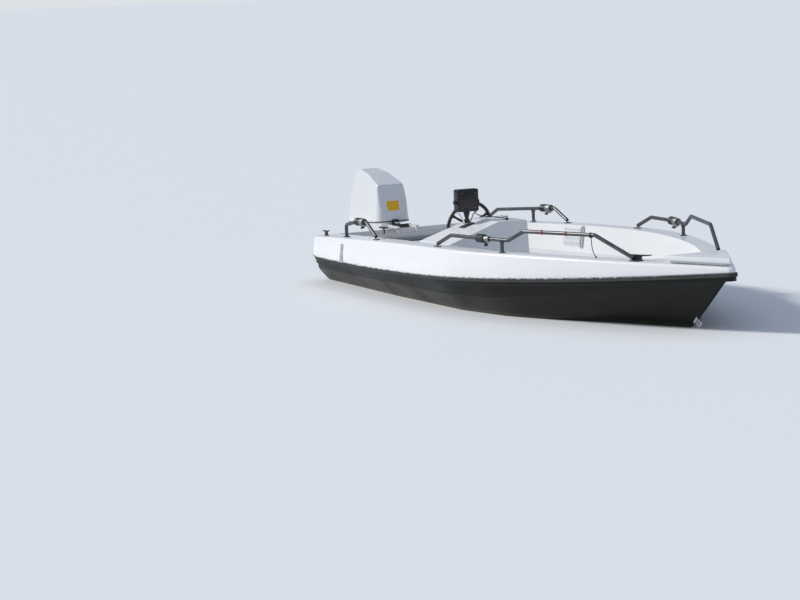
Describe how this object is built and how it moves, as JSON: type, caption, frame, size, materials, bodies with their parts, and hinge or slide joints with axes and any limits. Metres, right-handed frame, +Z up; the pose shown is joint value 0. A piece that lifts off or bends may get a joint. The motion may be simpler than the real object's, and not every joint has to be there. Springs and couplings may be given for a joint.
{
  "type": "open motorboat with outboard",
  "caption": "Small open motorboat with dark hull, white deck moulding, starboard console, bent side rails and a silver outboard that tilts and steers.",
  "frame": {"origin": "on the centreline in the waterplane, near the middle of the hull", "axes": "+X towards the bow, +Y to port, +Z up"},
  "size_m": [5.2313, 1.7964, 1.2269],
  "materials": {
    "hull_graphite": "satin gelcoat",
    "gelcoat_white": "gloss gelcoat",
    "liner_pale": "fine non-slip texture",
    "rubber_black": "matt",
    "rail_dark": "satin powder coat",
    "steel_bright": "polished",
    "plastic_black": "fine texture",
    "cushion_grey": "vinyl",
    "cowl_silver": "metallic paint",
    "engine_alloy": "cast",
    "prop_dark": "satin",
    "pale_plate": "satin"
  },
  "bodies": {
    "hull": {"hull_shell": "hull_graphite", "deck_moulding": "gelcoat_white", "cockpit_liner": "liner_pale", "rub_strip": "rubber_black", "bow_cap": "gelcoat_white", "lid_hinges": "steel_bright", "bow_eye": "steel_bright", "mid_rails": "rail_dark", "quarter_rails": "rail_dark", "rail_stanchions": "rail_dark", "rail_feet": "rail_dark", "rail_clamps": "plastic_black", "cleats": "plastic_black", "side_plates": "pale_plate", "aft_bench": "gelcoat_white", "bench_lid": "gelcoat_white", "bench_cushion": "cushion_grey", "console": "gelcoat_white", "instrument_box": "plastic_black", "box_bracket": "steel_bright", "bracket_plate": "plastic_black", "helm_boss": "plastic_black", "box_cable": "plastic_black", "clamp_bracket": "cowl_silver", "steering_cable": "plastic_black"},
    "swivel": {"swivel_bracket": "plastic_black"},
    "outboard": {"midsection": "cowl_silver", "cowl_lower": "cowl_silver", "cowl_seam": "plastic_black", "cowl_upper": "cowl_silver", "engine_block": "engine_alloy"},
    "propeller": {"propeller": "prop_dark"},
    "steering_wheel": {"steering_wheel": "plastic_black"},
    "bow_lid": {"bow_lid": "gelcoat_white"}
  },
  "joints": [
    {"name": "tilt", "type": "hinge", "parent": "hull", "child": "swivel", "pos_m": [-2.454, 0, 0.352], "axis": [0, 1, 0], "range_deg": [0, 65]},
    {"name": "steer", "type": "hinge", "parent": "swivel", "child": "outboard", "pos_m": [-2.523, 0, 0.24], "axis": [0, 0, 1], "range_deg": [-35, 35]},
    {"name": "prop_spin", "type": "hinge", "parent": "outboard", "child": "propeller", "pos_m": [-2.84, 0, -0.305], "axis": [1, 0, 0], "continuous": true},
    {"name": "wheel_turn", "type": "hinge", "parent": "hull", "child": "steering_wheel", "pos_m": [-0.9338, -0.2, 0.48481], "axis": [-0.9784, 0, 0.2065], "range_deg": [-640, 640]},
    {"name": "bow_lid_hinge", "type": "hinge", "parent": "hull", "child": "bow_lid", "pos_m": [1.332, 0, 0.3703], "axis": [0, 1, 0], "range_deg": [0, 85]}
  ],
  "couplings": [
    {"joint": "wheel_turn", "follows": "steer", "ratio": -18}
  ]
}
